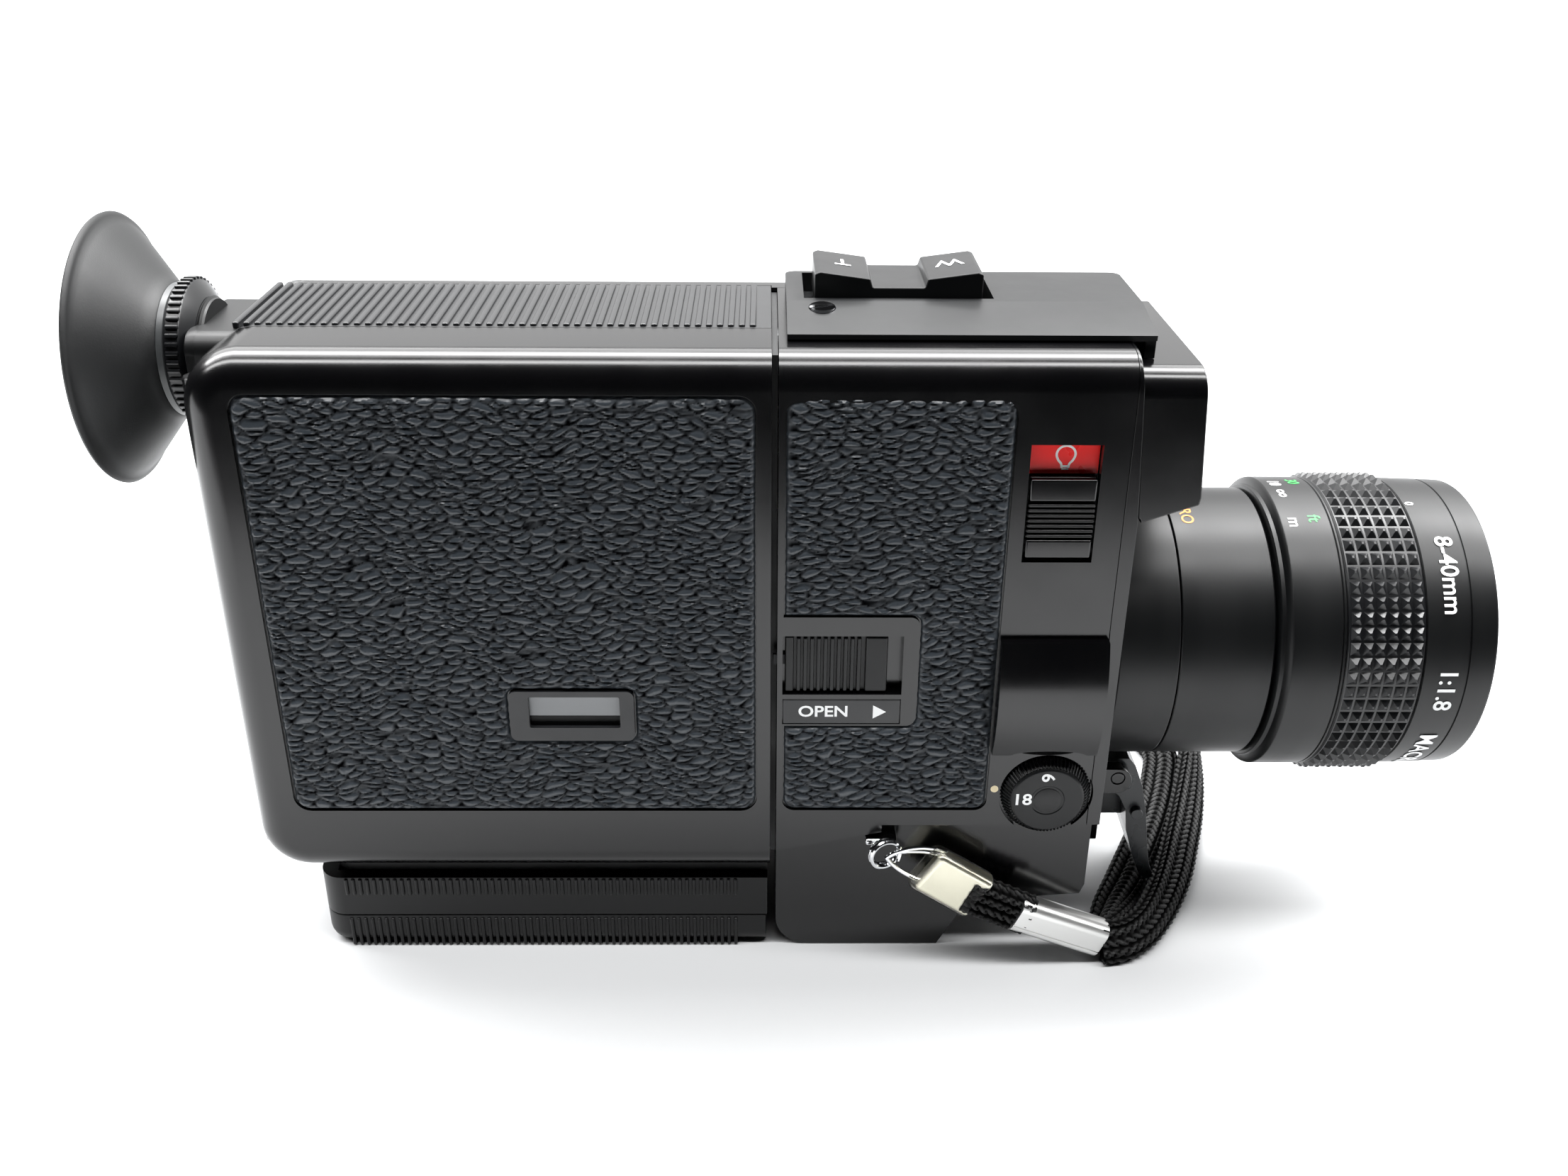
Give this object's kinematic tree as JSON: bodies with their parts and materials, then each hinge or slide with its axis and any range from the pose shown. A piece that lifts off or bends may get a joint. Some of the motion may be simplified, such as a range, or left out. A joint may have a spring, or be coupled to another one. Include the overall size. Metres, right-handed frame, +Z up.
{
  "type": "cine camera",
  "caption": "Compact cassette cine camera with a side film door, zoom lens, top zoom rocker, trigger, rubber eyecup and braided wrist strap.",
  "frame": {"origin": "mouth of the tripod socket, in the plane the camera stands on", "axes": "+X forward along the lens, +Z up, film door on the -Y side"},
  "size_m": [0.2079, 0.1351, 0.1187],
  "materials": {
    "black_plastic": "semi-gloss black moulding",
    "ribbed_plastic": "satin black moulding with ribs",
    "key_plastic": "satin black keys and slides",
    "red_plastic": "gloss red",
    "black_enamel": "satin black enamel",
    "lens_black": "black anodised aluminium",
    "knurl_black": "black anodised aluminium, knurled",
    "blackened_steel": "blackened sheet",
    "cast_metal": "die casting, painted matt black",
    "aluminium": "satin",
    "steel": "brushed",
    "chrome": "bright plate",
    "brass": "bright",
    "nylon": "natural nylon",
    "cell_jacket": "printed steel jacket, no text",
    "circuit_board": "green board",
    "glass": "clear",
    "coated_glass": "coated",
    "window_glass": "grey window in a black frame",
    "leather": "embossed black leatherette",
    "rubber": "matt black rubber",
    "braid": "braided black polyester"
  },
  "bodies": {
    "body": {"chassis": "cast_metal", "left_cover": "black_plastic", "top_cover": "ribbed_plastic", "front_cover": "black_plastic", "front_plate": "black_plastic", "base_block": "black_plastic", "tripod_bush": "steel", "battery_housing": "ribbed_plastic", "battery_cells": "cell_jacket", "battery_contacts": "brass", "top_plate": "black_enamel", "cover_screws": "chrome", "rocker_pin": "steel", "hood": "black_plastic", "meter_window": "glass", "exposure_meter": "aluminium", "circuit_board": "circuit_board", "lens_flange": "lens_black", "lens_tube": "aluminium", "rear_lens": "coated_glass", "optical_block": "cast_metal", "beam_prism": "glass", "film_gate": "blackened_steel", "drive_motor": "steel", "gear_plate": "steel", "zoom_motor": "steel", "finder_tube": "aluminium", "eyepiece_tube": "lens_black", "hinge_pin": "steel", "front_leather": "leather", "left_leather": "leather", "latch_label": "key_plastic", "lamp_window": "red_plastic", "trigger_guide": "black_plastic", "strap_lug": "chrome", "strap_fittings": "chrome", "strap_ferrule": "aluminium", "wrist_strap": "braid"},
    "door": {"film_door": "black_plastic", "door_leather": "leather", "film_window": "window_glass"},
    "battery_lid": {"battery_cover": "ribbed_plastic"},
    "rocker": {"zoom_rocker": "key_plastic"},
    "zoom": {"zoom_ring": "lens_black"},
    "zoom_group": {"zoom_lens": "coated_glass"},
    "focus": {"focus_ring": "lens_black", "focus_grip": "knurl_black", "front_ring": "lens_black", "front_lens": "coated_glass"},
    "shutter": {"shutter_disc": "blackened_steel"},
    "pinion": {"motor_pinion": "brass"},
    "idler": {"idler_gear": "nylon"},
    "spindle": {"takeup_spindle": "nylon"},
    "zoom_gear": {"zoom_pinion": "brass"},
    "dioptre": {"dioptre_ring": "knurl_black", "eyecup": "rubber"},
    "latch": {"latch_slide": "key_plastic"},
    "switch": {"filter_switch": "key_plastic"},
    "dial": {"speed_dial": "key_plastic"},
    "trigger": {"trigger": "key_plastic"}
  },
  "joints": [
    {"name": "door_hinge", "type": "hinge", "parent": "body", "child": "door", "pos_m": [-0.0972, -0.0169, 0.06], "axis": [0, 0, -1], "range_deg": [0, 100]},
    {"name": "battery_slide", "type": "slide", "parent": "body", "child": "battery_lid", "axis": [-1, 0, 0], "range_m": [0, 0.075]},
    {"name": "rocker_tilt", "type": "hinge", "parent": "body", "child": "rocker", "pos_m": [0.0029, 0.005, 0.105], "axis": [0, 1, 0], "range_deg": [-5, 5], "stiffness_Nm_per_rad": 0.1},
    {"name": "zoom_turn", "type": "hinge", "parent": "body", "child": "zoom", "pos_m": [0.0462, 0, 0.052], "axis": [1, 0, 0], "range_deg": [0, 90]},
    {"name": "zoom_group_slide", "type": "slide", "parent": "body", "child": "zoom_group", "axis": [1, 0, 0], "range_m": [0, 0.01]},
    {"name": "zoom_gear_spin", "type": "hinge", "parent": "body", "child": "zoom_gear", "pos_m": [0.0311, 0.01527, 0.06727], "axis": [1, 0, 0], "range_deg": [-450, 0]},
    {"name": "focus_turn", "type": "hinge", "parent": "body", "child": "focus", "pos_m": [0.0614, 0, 0.052], "axis": [1, 0, 0], "range_deg": [0, 120]},
    {"name": "idler_spin", "type": "hinge", "parent": "body", "child": "idler", "pos_m": [-0.01009, 0.0147, 0.05921], "axis": [0, 1, 0], "continuous": true},
    {"name": "motor_spin", "type": "hinge", "parent": "body", "child": "pinion", "pos_m": [0.01, 0.0147, 0.079], "axis": [0, 1, 0], "continuous": true},
    {"name": "spindle_spin", "type": "hinge", "parent": "body", "child": "spindle", "pos_m": [-0.0549, 0.0147, 0.0551], "axis": [0, 1, 0], "continuous": true},
    {"name": "shutter_spin", "type": "hinge", "parent": "body", "child": "shutter", "pos_m": [-0.012, -0.003, 0.044], "axis": [1, 0, 0], "continuous": true},
    {"name": "dioptre_turn", "type": "hinge", "parent": "body", "child": "dioptre", "pos_m": [-0.104, 0, 0.098], "axis": [1, 0, 0], "range_deg": [-60, 60]},
    {"name": "latch_pull", "type": "slide", "parent": "body", "child": "latch", "axis": [1, 0, 0], "range_m": [0, 0.002], "stiffness_N_per_m": 300},
    {"name": "switch_slide", "type": "slide", "parent": "body", "child": "switch", "axis": [0, 0, 1], "range_m": [0, 0.0048]},
    {"name": "dial_turn", "type": "hinge", "parent": "body", "child": "dial", "pos_m": [0.028, -0.022, 0.0319], "axis": [0, -1, 0], "range_deg": [0, 90]},
    {"name": "trigger_pull", "type": "hinge", "parent": "body", "child": "trigger", "pos_m": [0.0426, 0, 0.0271], "axis": [0, 1, 0], "range_deg": [0, 7], "stiffness_Nm_per_rad": 0.3}
  ],
  "couplings": [
    {"joint": "zoom_group_slide", "follows": "zoom_turn", "m_per_rad": 0.0063661},
    {"joint": "zoom_gear_spin", "follows": "zoom_turn", "ratio": -5},
    {"joint": "motor_spin", "follows": "idler_spin", "ratio": -5.7143},
    {"joint": "spindle_spin", "follows": "idler_spin", "ratio": -1.1429},
    {"joint": "shutter_spin", "follows": "idler_spin", "ratio": -5.7143}
  ]
}
